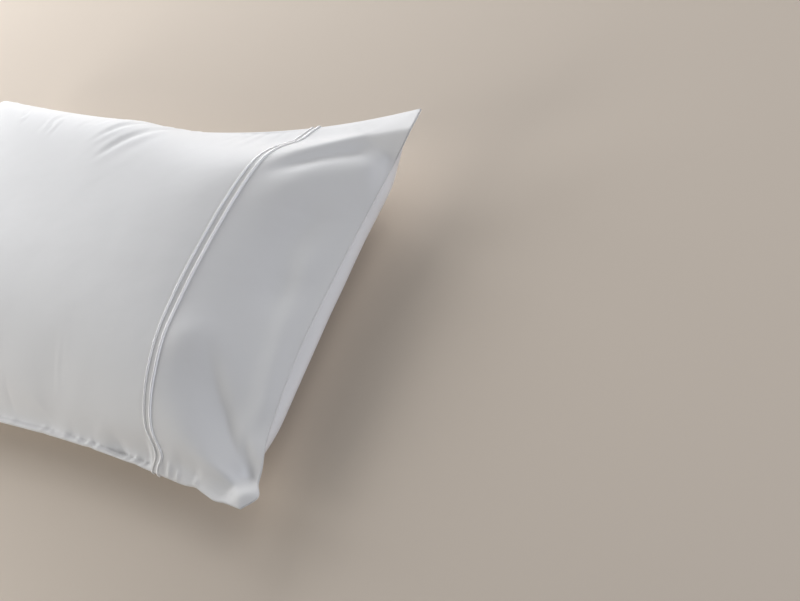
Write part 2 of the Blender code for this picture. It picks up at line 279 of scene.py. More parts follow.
# Patterns of the materials, in metres, and how far their shades differ
FLOAT_WIDTH = 0.0012
FLOAT_LENGTH = 0.0090
FLOAT_HEIGHT = 0.00003
THREAD_CONTRAST = 0.008
RUMPLE_WIDTH = 0.045
RUMPLE_HEIGHT = 0.0012
COVER_PITCH = 0.0010
COVER_HEIGHT = 0.00008
COVER_CONTRAST = 0.03
STIPPLE_WIDTH = 0.0018
STIPPLE_HEIGHT = 0.00005
CLOUD_WIDTH = 0.9
CLOUD_CONTRAST = 0.015
# Bands that a wave pattern of scale 1 has in one unit
WAVE_BANDS = 3.2

# The photographed view
IMAGE_WIDTH = 800
SENSOR = 36.0
FOCAL_PIXELS = 1389.93
TARGET = (0.4582, -0.0055, 0.1)
TARGET_DISTANCE = 1.2961
AZIMUTH = math.radians(58.13)
ELEVATION = math.radians(45.68)
ROLL = math.radians(-40.86)

# Soft lights: (name, where it points, azimuth, elevation, distance, size, power, colour); azimuth runs from -Y
# towards +X
CASE_AIM = (0.15, 0.0, 0.06)
FLOOR_AIM = (-0.10, -0.45, 0.0)
LIGHTS = (
    ("window", CASE_AIM, 220.0, 32.0, 2.2, 1.4, 10.5, "#FBFCFF"),
    ("side_window", CASE_AIM, 260.0, 20.0, 2.2, 1.4, 20.0, "#FBFCFF"),
    ("behind", CASE_AIM, 212.0, 10.0, 2.2, 1.4, 27.0, "#FBFCFF"),
    ("mouth_side", CASE_AIM, 120.0, 45.0, 2.2, 1.6, 7.6, "#FFFDFA"),
    ("mouth_fill", CASE_AIM, 90.0, 5.0, 2.2, 1.6, 17.5, "#E6EDFF"),
    ("floor_glow", FLOOR_AIM, 310.0, 35.0, 1.2, 0.9, 8.0, "#FFFDFA"),
)
WORLD_LIGHT = 0.14
FLOOR_HALF_SIZE = 5.0


def linear(hex_colour):
    """Turns an sRGB hex colour into the linear one that Blender works with."""
    channels = [int(hex_colour[i:i + 2], 16) / 255.0 for i in (1, 3, 5)]
    return tuple(c / 12.92 if c <= 0.04045 else ((c + 0.055) / 1.055) ** 2.4 for c in channels)


class PillowcaseSizes(bpy.types.PropertyGroup):
    """Sizes of the sewn details."""

    seam_thickness: bpy.props.FloatProperty(
        name="Seam thickness", description="Thickness of face and back together at the seam",
        default=0.0026, min=0.001, max=0.004, unit="LENGTH")
    seam_round: bpy.props.FloatProperty(
        name="Seam rounding", description="Reach over which the seam's edge rounds off",
        default=0.0022, min=0.0005, max=0.006, unit="LENGTH")
    seam_groove: bpy.props.FloatProperty(
        name="Seam groove", description="Depth of the sewn line between face and back",
        default=0.0006, min=0.0, max=0.002, unit="LENGTH")
    hem_thickness: bpy.props.FloatProperty(
        name="Hem thickness", description="Thickness of one hem at the mouth",
        default=0.0009, min=0.0004, max=0.0018, unit="LENGTH")
    inner_cord_width: bpy.props.FloatProperty(
        name="Inner cord width", description="Width of the cord in the cuff seam",
        default=0.0027, min=0.001, max=0.006, unit="LENGTH")
    outer_cord_width: bpy.props.FloatProperty(
        name="Outer cord width", description="Width of the cord on the cuff",
        default=0.0035, min=0.001, max=0.006, unit="LENGTH")
    cord_flatness: bpy.props.FloatProperty(
        name="Cord flatness", description="Thickness of a cord as a share of its width",
        default=0.95, min=0.4, max=1.0, subtype="FACTOR")
    cord_spacing: bpy.props.FloatProperty(
        name="Cord spacing", description="Distance between the two rows of cord",
        default=0.0095, min=0.005, max=0.02, unit="LENGTH")
    cord_bed: bpy.props.FloatProperty(
        name="Cord bed", description="Depth to which the stitching draws the cloth in under a cord",
        default=0.0002, min=0.0, max=0.003, unit="LENGTH")
    pucker_strength: bpy.props.FloatProperty(
        name="Pucker strength", description="Height of the puckers as a share of the made one",
        default=1.5, min=0.0, max=3.0, subtype="FACTOR")


class PillowcaseColours(bpy.types.PropertyGroup):
    """Colours of cloth, cords and floor."""

    cotton: bpy.props.FloatVectorProperty(
        name="Cotton", description="White of the sateen", subtype="COLOR", size=3, min=0.0, max=1.0,
        default=linear("#EFEFEF"))
    # The cord's white is whiter than the cotton's although its cover is the same sateen: a painted highlight.
    cord: bpy.props.FloatVectorProperty(
        name="Cord", description="White of the covered cord", subtype="COLOR", size=3, min=0.0, max=1.0,
        default=linear("#FCFCFC"))
    floor: bpy.props.FloatVectorProperty(
        name="Floor", description="Pale taupe of the floor", subtype="COLOR", size=3, min=0.0, max=1.0,
        default=linear("#DCD0C2"))


def blend(t):
    """Runs smoothly from 0 to 1."""
    t = np.clip(t, 0.0, 1.0)
    return t * t * (3.0 - 2.0 * t)


def bump(gap, half_width):
    """Gives a soft rounded hill, 1 high in its middle."""
    return np.exp(-((gap / half_width) ** 2))


def mix(low, high, share):
    """Gives the value at a share of the way from one value to another."""
    return low + (high - low) * share


def crowded(count, crowding):
    """Gives places from -1 to 1 that lie closer together towards both ends."""
    even = np.linspace(-1.0, 1.0, count)
    return even * (1.0 - crowding) + np.sin(even * np.pi / 2.0) * crowding


def sizes():
    """Gives the sizes that the panel shows."""
    return bpy.context.scene.pillowcase_sizes


# A place seen from above, and how far it is in from the hem, the closed end and the two side seams
Place = collections.namedtuple("Place", "x y from_mouth from_closed from_plus from_minus")


def plan(u, v):
    """Gives the place of u and v on the outline's plan."""
    half_plus = HALF_WIDTH - PLUS_DRAW_IN * (1.0 - np.abs(u) ** SIDE_ROUNDNESS)
    half_minus = HALF_WIDTH - MINUS_DRAW_IN * (1.0 - np.abs(u) ** SIDE_ROUNDNESS)
    mouth = HALF_LENGTH_MOUTH - MOUTH_DRAW_IN * (1.0 - np.abs(v) ** MOUTH_ROUNDNESS)
    middle, half_width, reach = HEM_SHOULDER
    mouth = mouth + reach * bump(v - middle, half_width)
    closed = HALF_LENGTH_CLOSED - CLOSED_DRAW_IN * (1.0 - np.abs(v) ** CLOSED_ROUNDNESS)
    along = (1.0 + u) / 2.0
    from_mouth = (mouth + closed) * (1.0 - along)
    from_closed = (mouth + closed) * along
    y = np.where(v > 0.0, v * half_plus, v * half_minus)
    return Place(mouth - from_mouth, y, from_mouth, from_closed, half_plus - y, half_minus + y)


def ears(u, v):
    """Gives the pull of the two mouth corners as x, y and height."""
    towards = np.clip(u, 0.0, 1.0)
    plus = np.clip(v, 0.0, 1.0)
    minus = np.clip(-v, 0.0, 1.0)
    powers = (EAR_SHIFT_POWER, EAR_SHIFT_POWER, EAR_LIFT_POWER)
    return [
        pull_plus * (towards * plus) ** power + pull_minus * (towards * minus) ** power
        for pull_plus, pull_minus, power in zip(EAR_PLUS, EAR_MINUS, powers)
    ]


def seam_height(u, v):
    """Gives the height of the layer in which face and back meet."""
    dip = SEAM_DIP_AT_MOUTH * np.clip(u, 0.0, 1.0) ** 2 * (1.0 - v * v)
    rise = SEAM_RISE_PLUS * np.clip(v, 0.0, 1.0) ** 2 - SEAM_FALL_MINUS * np.clip(-v, 0.0, 1.0) ** 2
    droop = CORNER_DROOP_CLOSED * np.clip(-u, 0.0, 1.0) ** 4 * v ** 4
    return SEAM_HEIGHT - dip + rise - droop + ears(u, v)[2]


def rise(distance, reach, lip, roundness, steepness, lip_slope, softness):
    """Gives the share of the crown that the face has at a distance in from one edge."""

    def dome(inside):
        soft = (np.sqrt(inside * inside + softness * softness) + inside) / 2.0
        return np.maximum(1.0 - (1.0 - np.clip(soft, 0.0, 1.0)) ** roundness, 0.0) ** steepness

    at_edge = dome(-lip / (reach - lip))
    share = (dome((distance - lip) / (reach - lip)) - at_edge) / (1.0 - at_edge)
    lip_rise = lip_slope * lip / CROWN
    return share * (1.0 - lip_rise) + lip_rise * (1.0 - np.exp(-distance / lip))


def crown(u, v):
    """Gives the height of the face over the seam layer."""
    place = plan(u, v)
    mouthward = blend((u - LIP_START_U) / (LIP_FULL_U - LIP_START_U))
    both_ends = zip(RISE_PLUS_AT_MOUTH, RISE_PLUS_AT_CLOSED)
    rise_plus = [mouth * mouthward + closed * (1.0 - mouthward) for mouth, closed in both_ends]
    shares = (
        rise(place.from_mouth, *RISE_MOUTH),
        rise(place.from_closed, *RISE_CLOSED),
        rise(place.from_plus, *rise_plus),
        rise(place.from_minus, *RISE_MINUS),
    )
    total = sum(np.maximum(share, WELD) ** -CROWN_BLEND for share in shares)
    return CROWN * (total / len(shares)) ** (-1.0 / CROWN_BLEND)


def curve_through(start, middle, end):
    """Gives places along the curve through three places."""
    t = np.linspace(0.0, 1.0, FOLD_STEPS + 1)[:, None]
    weights = ((1.0 - t) * (1.0 - 2.0 * t), 4.0 * t * (1.0 - t), t * (2.0 * t - 1.0))
    return sum(weight * np.array(place) for weight, place in zip(weights, (start, middle, end)))


def fold_profile(gap, width, crest):
    """Gives the height across a fold: soft, or with two nearly flat flanks that meet in a rounded crest."""
    if crest == 0.0:
        return bump(gap, width)

    def above_foot(t):
        return t + np.sqrt(t * t + FOLD_FOOT * FOLD_FOOT)

    return above_foot(1.0 - (np.sqrt(gap * gap + crest * crest) - crest) / width) / above_foot(1.0)


def folds(x, y):
    """Gives the height that the folds add to the face."""
    height = np.zeros_like(x)
    for start, middle, end, rise_of_fold, width_left, width_right, crest, fade_in, fade_out in FOLDS:
        places = curve_through(start, middle, end)
        nearest = np.full_like(x, np.inf)
        along = np.zeros_like(x)
        left = np.zeros_like(x)
        run = 0.0
        for step in range(FOLD_STEPS):
            run_x, run_y = places[step + 1] - places[step]
            length = math.hypot(run_x, run_y)
            gap_x = x - places[step][0]
            gap_y = y - places[step][1]
            share = np.clip((gap_x * run_x + gap_y * run_y) / length ** 2, 0.0, 1.0)
            gap = np.hypot(gap_x - share * run_x, gap_y - share * run_y)
            nearer = gap < nearest
            along = np.where(nearer, run + share * length, along)
            left = np.where(nearer, run_x * gap_y - run_y * gap_x, left)
            nearest = np.minimum(nearest, gap)
            run += length
        width = np.where(left > 0.0, width_left, width_right)
        ends = blend(along / max(fade_in, WELD)) * blend((run - along) / max(fade_out, WELD))
        height += rise_of_fold * fold_profile(nearest, width, crest) * ends
    for middle_x, middle_y, rise_of_dent, radius in DENTS:
        height += rise_of_dent * bump(np.hypot(x - middle_x, y - middle_y), radius)
    return height


def over_zero(height, softness):
    """Gives the height where it is above zero, with a soft start."""
    return (height + np.sqrt(height * height + softness * softness)) / 2.0


def raised_strip(u, v, place):
    """Gives how far the flat strip beside the +Y seam stands over the face."""
    past_ridge = over_zero(place.from_plus - STRIP_WIDTH, STRIP_RIDGE)
    strip = seam_height(u, np.ones_like(v)) + STRIP_SLOPE * place.from_plus - (STRIP_SLOPE + STRIP_FALL) * past_ridge
    over = over_zero(strip - seam_height(u, v) - crown(u, v), STRIP_FOOT)
    return over * blend((u - STRIP_START_U) / (STRIP_FULL_U - STRIP_START_U)) * (v > 0.0)


def lift(u, v, place):
    """Gives how far folds and strip lift the face, and how far they lift the hems and the back beside them."""
    shift_x, shift_y, _ = ears(u, v)
    height = folds(place.x + shift_x, place.y + shift_y) + raised_strip(u, v, place)
    height = height * blend(np.minimum(place.from_plus, place.from_minus) / FOLD_CLEAR)
    return height, height * blend(1.0 - place.from_mouth / HEM_WAVE_REACH)


def puckers(x, from_seam):
    """Gives the height of the puckers beside the -Y seam, each of them a short lump that starts at the seam."""
    height = np.zeros_like(x)
    for middle, rise_of_pucker, half_width, length in PUCKERS:
        reach = from_seam / length
        run_out = PUCKER_START * reach * np.exp(-reach * reach * PUCKER_FADE)
        height += rise_of_pucker * bump(x - middle, half_width) * run_out
    return height * sizes().pucker_strength


def edge_profile(place):
    """Gives the thickness at the seams as a share of the full one."""
    reach = sizes().seam_round
    side = 1.0 - np.clip(np.minimum(place.from_plus, place.from_minus) / reach, 0.0, 1.0)
    closed = 1.0 - np.clip(place.from_closed / reach, 0.0, 1.0)
    return np.sqrt(1.0 - side * side) * np.sqrt(1.0 - closed * closed)


def seam_inset(place):
    """Gives how far the sewn line between face and back is drawn in, in y and in x."""
    depth = sizes().seam_groove
    reach = sizes().seam_round / GROOVE_NARROWER
    y = depth * (bump(place.from_minus, reach) - bump(place.from_plus, reach))
    return y, depth * bump(place.from_closed, reach)


def loosen(u, v, place, wave):
    """Gives how far the folded cloth shifts in x and y from the plain one: at the hem, the corner and the seam."""
    x_cut, y_cut, power_u, power_v = CORNER_CUT
    cut = np.clip(u, 0.0, 1.0) ** power_u * np.clip(-v, 0.0, 1.0) ** power_v
    middle, half_width, reach = CORNER_FILL
    fill = reach * bump(v - middle, half_width) * blend(1.0 - place.from_mouth / HEM_WAVE_REACH)
    bow = sum(depth * bump(place.x - x, width) for x, depth, width in SEAM_BOWS)
    bow = bow * blend(1.0 - place.from_minus / SEAM_BOW_REACH)
    return wave * HEM_WAVE_SWING + x_cut * cut + fill, y_cut * cut + bow


def folded_face(u, v, plain=False):
    """Gives points of the face before it is simulated; the plain face has no folds."""
    place = plan(u, v)
    shift_x, shift_y, _ = ears(u, v)
    inset_y, inset_x = seam_inset(place)
    x = place.x + shift_x + inset_x
    y = place.y + shift_y + inset_y
    z = seam_height(u, v) + sizes().seam_thickness / 2.0 * edge_profile(place) + crown(u, v)
    if not plain:
        height, wave = lift(u, v, place)
        z = z + height + puckers(x, place.from_minus)
        loose_x, loose_y = loosen(u, v, place, wave)
        x, y = x + loose_x, y + loose_y
    return np.stack([x, y, z], axis=-1)


def face_point(u, v, plain=False):
    """Gives points of the face; the plain face has no folds and creases."""
    points = folded_face(u, v, plain)
    return points if plain else points + creases(u, v)


def drop(distance, reach, roundness, steepness):
    """Gives the share of the height that the back still has at a distance in from one edge."""
    outside = np.clip(1.0 - distance / reach, 0.0, 1.0)
    return 1.0 - np.maximum(1.0 - outside ** roundness, 0.0) ** steepness


def back_point(u, v, plain=False):
    """Gives points of the back, which lies flat in the middle; the plain back has no folds."""
    place = plan(u, v)
    shift_x, shift_y, _ = ears(u, v)
    inset_y, inset_x = seam_inset(place)
    shares = (
        drop(place.from_mouth, *DROP_MOUTH),
        drop(place.from_closed, *DROP_CLOSED),
        drop(place.from_plus, *DROP_PLUS),
        drop(place.from_minus, *DROP_MINUS),
    )
    share = np.minimum(sum(part ** DROP_BLEND for part in shares) ** (1.0 / DROP_BLEND), 1.0)
    side = np.where(v > BELLY_CENTRE_V, 1.0 - BELLY_CENTRE_V, 1.0 + BELLY_CENTRE_V)
    belly = BELLY * np.sin(np.pi * share) * (1.0 - ((v - BELLY_CENTRE_V) / side) ** 2)
    belly = belly * np.sqrt(np.clip(1.0 - place.from_mouth / BELLY_REACH, 0.0, 1.0))
    x = place.x + shift_x + belly + inset_x
    y = place.y + shift_y + inset_y
    z = (seam_height(u, v) - sizes().seam_thickness / 2.0 * edge_profile(place)) * share
    if not plain:
        _, wave = lift(u, v, place)
        loose_x, loose_y = loosen(u, v, place, wave)
        x, y, z = x + loose_x, y + loose_y, z + wave * share
    return np.stack([x, y, z], axis=-1)


def settle_places():
    """Gives u and v of the simulated face's grid, which is closer at the side seams."""
    return np.linspace(-1.0, 1.0, SETTLE_ROWS), crowded(SETTLE_COLUMNS, SETTLE_CROWDING)


def softened(field, breadth):
    """Gives a field with its fine forms averaged away over a breadth in rows and in columns."""
    for axis, reach in enumerate(breadth):
        half = math.ceil(reach * CREASE_SPREADS)
        weights = bump(np.arange(-half, half + 1.0), reach * math.sqrt(2.0))
        weights /= weights.sum()
        widths = [(half, half) if other == axis else (0, 0) for other in (0, 1)]
        padded = np.pad(field, widths, mode="edge")
        field = np.apply_along_axis(np.convolve, axis, padded, weights, mode="valid")
    return field


def simulated_face(face, back):
    """Runs the cloth simulation with seams and back held, and gives the places of the face.

    The skin that it runs on is removed again. The creases depend on the order of its points and faces.
    """
    rows, columns = face.shape[:2]
    inner = np.full((rows, columns), -1)
    inner[1:-1, 1:-1] = rows * columns + np.arange((rows - 2) * (columns - 2)).reshape(rows - 2, columns - 2)
    upper = np.arange(rows * columns).reshape(rows, columns)
    lower = np.where(inner < 0, upper, inner)
    corners = [
        np.stack([grid[:-1, :-1], grid[1:, :-1], grid[1:, 1:], grid[:-1, 1:]], axis=-1).reshape(-1, 4)[:, ::turn]
        for grid, turn in ((upper, 1), (lower, -1))
    ]
    places = np.concatenate([face.reshape(-1, 3), back[1:-1, 1:-1].reshape(-1, 3)])
    mesh = bpy.data.meshes.new("settling")
    mesh.from_pydata(places.tolist(), [], np.concatenate(corners).tolist())
    case = bpy.data.objects.new("settling", mesh)
    bpy.context.scene.collection.objects.link(case)
    held = case.vertex_groups.new(name="held")
    held.add([int(i) for i in np.unique(lower)], 1.0, "REPLACE")
    modifier = case.modifiers.new("cloth", "CLOTH")
    modifier.point_cache.frame_start = 1
    modifier.point_cache.frame_end = SETTLE_FRAMES
    modifier.collision_settings.use_collision = False
    cloth = modifier.settings
    cloth.quality = SETTLE_QUALITY
    cloth.mass = SETTLE_WEIGHT
    cloth.tension_stiffness = cloth.compression_stiffness = SETTLE_STIFFNESS
    cloth.shear_stiffness = SETTLE_SHEAR
    cloth.bending_stiffness = SETTLE_BENDING
    cloth.use_pressure = True
    cloth.uniform_pressure_force = SETTLE_PRESSURE
    cloth.shrink_min = -SETTLE_SPARE
    cloth.vertex_group_mass = held.name
    cloth.effector_weights.gravity = 0.0
    scene = bpy.context.scene
    for number in range(1, SETTLE_FRAMES + 1):
        scene.frame_set(number)
    settled = case.evaluated_get(bpy.context.evaluated_depsgraph_get()).data
    moved = np.empty(len(settled.vertices) * 3)
    settled.vertices.foreach_get("co", moved)
    bpy.data.objects.remove(case)
    bpy.data.meshes.remove(mesh)
    scene.frame_set(1)
    return moved.reshape(-1, 3)[:rows * columns].reshape(rows, columns, 3)


@functools.cache
def settled_creases():
    """Gives the creases of the simulated face on its grid, as shifts in x, y and z."""
    u, v = settle_places()
    u, v = np.meshgrid(u, v, indexing="ij")
    face = folded_face(u, v)
    normal = np.cross(np.gradient(face, axis=0), np.gradient(face, axis=1))
    normal /= np.maximum(np.linalg.norm(normal, axis=-1), WELD * WELD)[..., None]
    rise = np.sum((simulated_face(face, back_point(u, v)) - face) * normal, axis=-1)
    crease = rise - softened(rise, CREASE_BREADTH)
    return normal * (CREASE_LIMIT * np.tanh(crease / CREASE_LIMIT))[..., None]


def spline_weights(t):
    """Gives the weights of four neighbours for a smooth run between the middle two."""
    return (
        ((2.0 - t) * t - 1.0) * t / 2.0,
        ((3.0 * t - 5.0) * t * t + 2.0) / 2.0,
        ((4.0 - 3.0 * t) * t + 1.0) * t / 2.0,
        (t - 1.0) * t * t / 2.0,
    )


def creases(u, v):
    """Gives the shifts in x, y and z that the simulated creases add to the face."""
    grid = settled_creases()
    _, columns_v = settle_places()
    row = (u + 1.0) / 2.0 * (SETTLE_ROWS - 1)
    column = np.interp(v, columns_v, np.arange(SETTLE_COLUMNS))
    first_row, first_column = np.floor(row).astype(int), np.floor(column).astype(int)
    shift = 0.0
    for down, weight_row in enumerate(spline_weights(row - first_row)):
        rows = np.clip(first_row + down - 1, 0, SETTLE_ROWS - 1)
        for right, weight_column in enumerate(spline_weights(column - first_column)):
            columns = np.clip(first_column + right - 1, 0, SETTLE_COLUMNS - 1)
            shift = shift + (weight_row * weight_column)[..., None] * grid[rows, columns]
    place = plan(u, v)
    past_cuff = blend((place.from_mouth - CREASES_START) / (CREASES_FULL - CREASES_START))
    from_seams = np.minimum.reduce([place.from_mouth, place.from_closed, place.from_plus, place.from_minus])
    share = mix(CREASES_ON_CUFF, 1.0, past_cuff) * blend(from_seams / CREASE_CLEAR)
    share = share * mix(CREASES_BY_SEAM, 1.0, blend(place.from_minus / CREASES_SEAM_REACH))
    return shift * share[..., None]


def column_places():
    """Gives v for each column: close together at the side seams, and closest on the seam's rounded edge."""
    open_cloth = crowded(COLUMNS, SIDE_CROWDING)
    width = HALF_WIDTH - PLUS_DRAW_IN
    open_cloth = open_cloth[np.abs(open_cloth) < 1.0 - EDGE_CLEAR / width]
    edge = 1.0 - np.array(EDGE_COLUMNS) / width
    return np.concatenate([-edge, open_cloth, edge[::-1]])


class Cloth:
    """The face or the back, measured over the plain cloth from the mouth along each column."""

    def __init__(self, point, up):
        self.point = point
        self.up = up
        self.v = column_places()
        self.table_u = np.linspace(1.0, -1.0, TABLE_STEPS + 1)
        grid_u, grid_v = np.meshgrid(self.table_u, self.v, indexing="ij")
        steps = np.linalg.norm(np.diff(point(grid_u, grid_v, plain=True), axis=0), axis=-1)
        self.table_station = np.vstack([np.zeros(len(self.v)), np.cumsum(steps, axis=0)])
        self.length = self.table_station[-1]

    def u_at(self, stations):
        """Gives u for rows of stations."""
        columns = zip(np.transpose(stations), self.table_station.T)
        return np.transpose([np.interp(station, table, self.table_u) for station, table in columns])

    def out(self, u):
        """Gives the outward directions; at the side seams they point out of the corner."""
        v = np.broadcast_to(self.v, u.shape)
        step_u = self.point(np.minimum(u + PROBE, 1.0), v) - self.point(np.maximum(u - PROBE, -1.0), v)
        inner = np.clip(v, -1.0 + PROBE, 1.0 - PROBE)
        step_v = self.point(u, inner + PROBE) - self.point(u, inner - PROBE)
        normal = np.cross(step_u, step_v) * self.up
        return normal / np.maximum(np.linalg.norm(normal, axis=-1), WELD * WELD)[..., None]

    def rows(self, stations, height=0.0):
        """Gives rows of points at rows of stations, raised off the cloth by a height."""
        u = self.u_at(stations)
        return self.point(u, np.broadcast_to(self.v, u.shape)) + self.out(u) * np.asarray(height)[..., None]


@functools.cache
def cloths():
    """Gives the face and the back."""
    return Cloth(face_point, 1.0), Cloth(back_point, -1.0)


def cuff_station(v, distance):
    """Gives the station of a line that is parallel to the cuff seam, gathered at one side seam."""
    return distance * (1.0 - CUFF_GATHER_MINUS * np.clip(-v, 0.0, 1.0) ** CUFF_GATHER_POWER)


def cord_sink(cloth):
    """Gives the share of a cord's thickness that lies in the cloth: less than half in the face, all in the back."""
    inward = blend((1.0 - np.abs(cloth.v)) / CORD_SINK_WIDTH)
    return CORD_SUNK_FACE if cloth.up > 0 else mix(CORD_SUNK_FACE, CORD_SUNK_BACK, inward)


def cord_bed(cloth, before_seam):
    """Gives how deep the cloth lies under the cords, at a distance from the cuff seam towards the mouth."""
    size = sizes()
    inner = bump(before_seam, size.inner_cord_width * CORD_BED_WIDTH)
    outer = bump(before_seam - size.cord_spacing, size.outer_cord_width * CORD_BED_WIDTH)
    extra = (cord_sink(cloth) - CORD_SUNK_FACE) * size.outer_cord_width * size.cord_flatness
    return -(size.cord_bed + extra) * (inner + outer) * blend((1.0 - np.abs(cloth.v)) / CORD_BED_FADE)


def row_distances(fine_reach, length, count):
    """Gives rows of distances from the cuff seam: fine ones at the cords, then even ones over the whole length."""
    fine = np.arange(FINE_STEP / 2.0, fine_reach, FINE_STEP)
    share = np.linspace(0.0, 1.0, count)[1:, None]
    return np.concatenate([fine[:, None] * np.ones_like(length), mix(fine[-1], length, share)])


def body_rows(cloth):
    """Gives the rows of the body, from the cuff seam to the closed end."""
    start = cuff_station(cloth.v, CUFF_DEPTH)
    length = cloth.length - start
    beyond = row_distances(BODY_FINE_REACH, length, round(float(length[0]) / BODY_ROW_STEP))
    return cloth.rows(start + beyond, cord_bed(cloth, -beyond)), start + beyond


def cuff_rows(cloth):
    """Gives the rows of the cuff, from the cuff seam to the hem."""
    start = cuff_station(cloth.v, CUFF_DEPTH)
    fine_reach = sizes().cord_spacing + CUFF_FINE_REACH
    before = row_distances(fine_reach, start, round((CUFF_DEPTH - fine_reach) / CUFF_ROW_STEP))
    return cloth.rows(start - before, cord_bed(cloth, before)), start - before


def hem_rows(cloth, last):
    """Gives the rows that turn round the hem and run into the slit between face and back."""
    place = plan(np.ones_like(cloth.v), cloth.v)
    radius = sizes().hem_thickness / 2.0 * edge_profile(place)
    rows = []
    for angle in np.linspace(0.0, np.pi, HEM_TURNS + 1)[1:]:
        turned = np.array(last)
        turned[:, 0] += radius * np.sin(angle)
        turned[:, 2] -= cloth.up * radius * (1.0 - np.cos(angle))
        rows.append(turned)
    inward = 1.0 - np.abs(cloth.v) ** SLIT_TAPER_POWER
    depth = mix(SLIT_DEPTH_AT_SIDE, SLIT_DEPTH, inward)
    for share in SLIT_SHARES:
        inner = np.array(rows[-1])
        inner[:, 0] = rows[HEM_TURNS - 1][:, 0] - depth * share
        u = 1.0 - depth * share / (HALF_LENGTH_MOUTH + HALF_LENGTH_CLOSED) * 2.0
        gap = (sizes().seam_thickness / 2.0 - sizes().hem_thickness) * edge_profile(place)
        _, wave = lift(u, cloth.v, plan(u, cloth.v))
        inner[:, 2] = seam_height(u, cloth.v) + wave + cloth.up * gap
        rows.append(inner)
    return rows


def lay_grid(bm, points, flat):
    """Adds a grid whose corners take the given places; flat holds each corner's place on the flat cloth."""
    rows, columns = points.shape[:2]
    made = bmesh.ops.create_grid(bm, x_segments=rows - 1, y_segments=columns - 1, size=1.0)
    layer = bm.loops.layers.uv.verify()
    for vert in made["verts"]:
        row = round((vert.co.x + 1.0) / 2.0 * (rows - 1))
        column = round((vert.co.y + 1.0) / 2.0 * (columns - 1))
        vert.co = points[row, column]
        for loop in vert.link_loops:
            loop[layer].uv = flat[row, column]


def as_piece(bm, name, material, node):
    """Welds a piece, makes it an object and lets it stand for its CAD node."""
    bmesh.ops.remove_doubles(bm, verts=bm.verts, dist=WELD)
    bmesh.ops.recalc_face_normals(bm, faces=bm.faces)
    if bm.calc_volume(signed=True) < 0.0:
        bmesh.ops.reverse_faces(bm, faces=bm.faces)
    mesh = bpy.data.meshes.new(name)
    bm.to_mesh(mesh)
    bm.free()
    mesh.shade_smooth()
    mesh.materials.append(material)
    piece = bpy.data.objects.new(name, mesh)
    bpy.context.scene.collection.objects.link(piece)
    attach(piece, "root")
    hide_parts(node)
    return piece


def flat_places(cloth, stations):
    """Gives each point's place on the flat cloth, in metres across and along."""
    across = np.broadcast_to(cloth.v * HALF_WIDTH, stations.shape)
    return np.stack([across * cloth.up, stations], axis=-1)


def filled_piece(name, halves, material, node, open_end):
    """Makes a filled length of the case from the rows of its face and its back."""
    (face, face_flat), (back, back_flat) = halves
    bm = bmesh.new()
    lay_grid(bm, face, face_flat)
    lay_grid(bm, back, back_flat)
    lay_grid(bm, np.stack([face[0], back[0]]), np.stack([face_flat[0], back_flat[0]]))
    if open_end:
        lay_grid(bm, np.stack([face[-1], back[-1]]), np.stack([face_flat[-1], back_flat[-1]]))
    return as_piece(bm, name, material, node)


def cord_piece(name, distance, width, material, node):
    """Makes a cord that runs round the case parallel to the cuff seam."""
    thickness = width * sizes().cord_flatness
    halves = []
    for cloth in cloths():
        station = cuff_station(cloth.v, distance)[None, :]
        sunk = thickness * (0.5 - cord_sink(cloth))
        centre = cloth.rows(station, np.broadcast_to(sunk, station.shape))[0]
        out = cloth.out(cloth.u_at(station))[0]
        ahead = cloth.rows(station + PROBE)[0] - cloth.rows(station - PROBE)[0]
        ahead /= np.linalg.norm(ahead, axis=-1)[:, None]
        rings = [
            centre + ahead * width / 2.0 * np.cos(angle) + out * thickness / 2.0 * np.sin(angle)
            for angle in np.linspace(0.0, 2.0 * np.pi, CORD_SIDES + 1)
        ]
        halves.append(np.array(rings))
    face, back = halves
    seam = (face[:, (0, -1)] + back[:, (0, -1)]) / 2.0
    loop = np.concatenate([seam[:, :1], face[:, 1:-1], seam[:, 1:], back[:, -2:0:-1], seam[:, :1]], axis=1)
    run = np.concatenate([[0.0], np.cumsum(np.linalg.norm(np.diff(loop[0], axis=0), axis=-1))])
    round_it = np.linspace(0.0, np.pi * width, CORD_SIDES + 1)
    flat = np.stack(np.broadcast_arrays(run[None, :], round_it[:, None]), axis=-1)
    bm = bmesh.new()
    lay_grid(bm, loop, flat)
    return as_piece(bm, name, material, node)


def add_node(tree, kind, settings=(), links=()):
    """Adds a node; settings are its fields or sockets and their values, links its sockets and what feeds them."""
    node = tree.nodes.new(kind)
    for key, value in dict(settings).items():
        if isinstance(key, str) and hasattr(node, key):
            setattr(node, key, value)
        else:
            node.inputs[key].default_value = value
    for key, source in dict(links).items():
        tree.links.new(source, node.inputs[key])
    return node


def new_material(name):
    """Gives a new material, its node tree and its shader."""
    material = bpy.data.materials.new(name)
    material.use_nodes = True
    return material, material.node_tree, material.node_tree.nodes["Principled BSDF"]


def two_shades(tree, shader, colour, contrast, factor):
    """Colours a shader in shades that differ from a colour by a contrast, mixed by a factor."""
    mix = tree.nodes.new("ShaderNodeMix")
    mix.data_type = "RGBA"
    dark, light = [socket for socket in mix.inputs if socket.type == "RGBA"]
    dark.default_value = (*(Vector(colour) * (1.0 - contrast)), 1.0)
    light.default_value = (*(Vector(colour) * (1.0 + contrast)), 1.0)
    tree.links.new(factor, mix.inputs[0])
    mixed = next(socket for socket in mix.outputs if socket.type == "RGBA")
    tree.links.new(mixed, shader.inputs["Base Color"])


